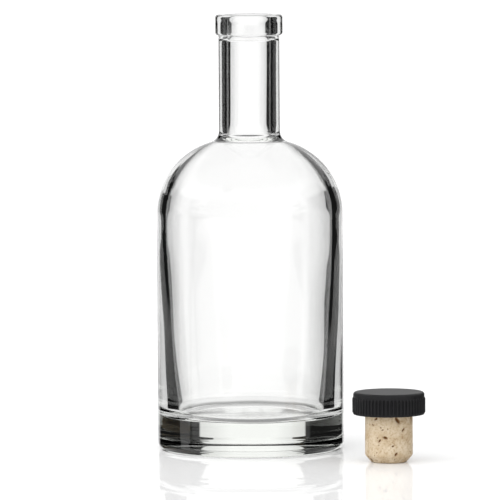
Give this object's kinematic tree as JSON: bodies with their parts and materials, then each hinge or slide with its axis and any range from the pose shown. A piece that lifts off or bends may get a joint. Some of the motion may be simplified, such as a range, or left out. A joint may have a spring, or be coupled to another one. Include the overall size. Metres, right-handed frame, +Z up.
{
  "type": "liquor bottle",
  "caption": "Clear round glass spirits bottle with a domed shoulder, straight neck, rolled rim and heavy base, beside its cork stopper with a ribbed black cap.",
  "frame": {"origin": "where the bottle's axis meets the surface that the bottle stands on, at the centre of its flat underside", "axes": "+Z up along the bottle's axis to the mouth; -Y is the front; +X is to the right seen from the front, and the stopper stands at the front right"},
  "size_m": [0.09, 0.0869, 0.1482],
  "materials": {
    "glass": "clear flint glass, polished by fire, with faint waves on the inside",
    "cap_plastic": "satin black moulded plastic, ribbed round the side",
    "cork": "natural cork with brown pores, sanded"
  },
  "bodies": {
    "root": {"bottle": "glass", "stopper_cap": "cap_plastic", "stopper_cork": "cork"}
  },
  "joints": []
}
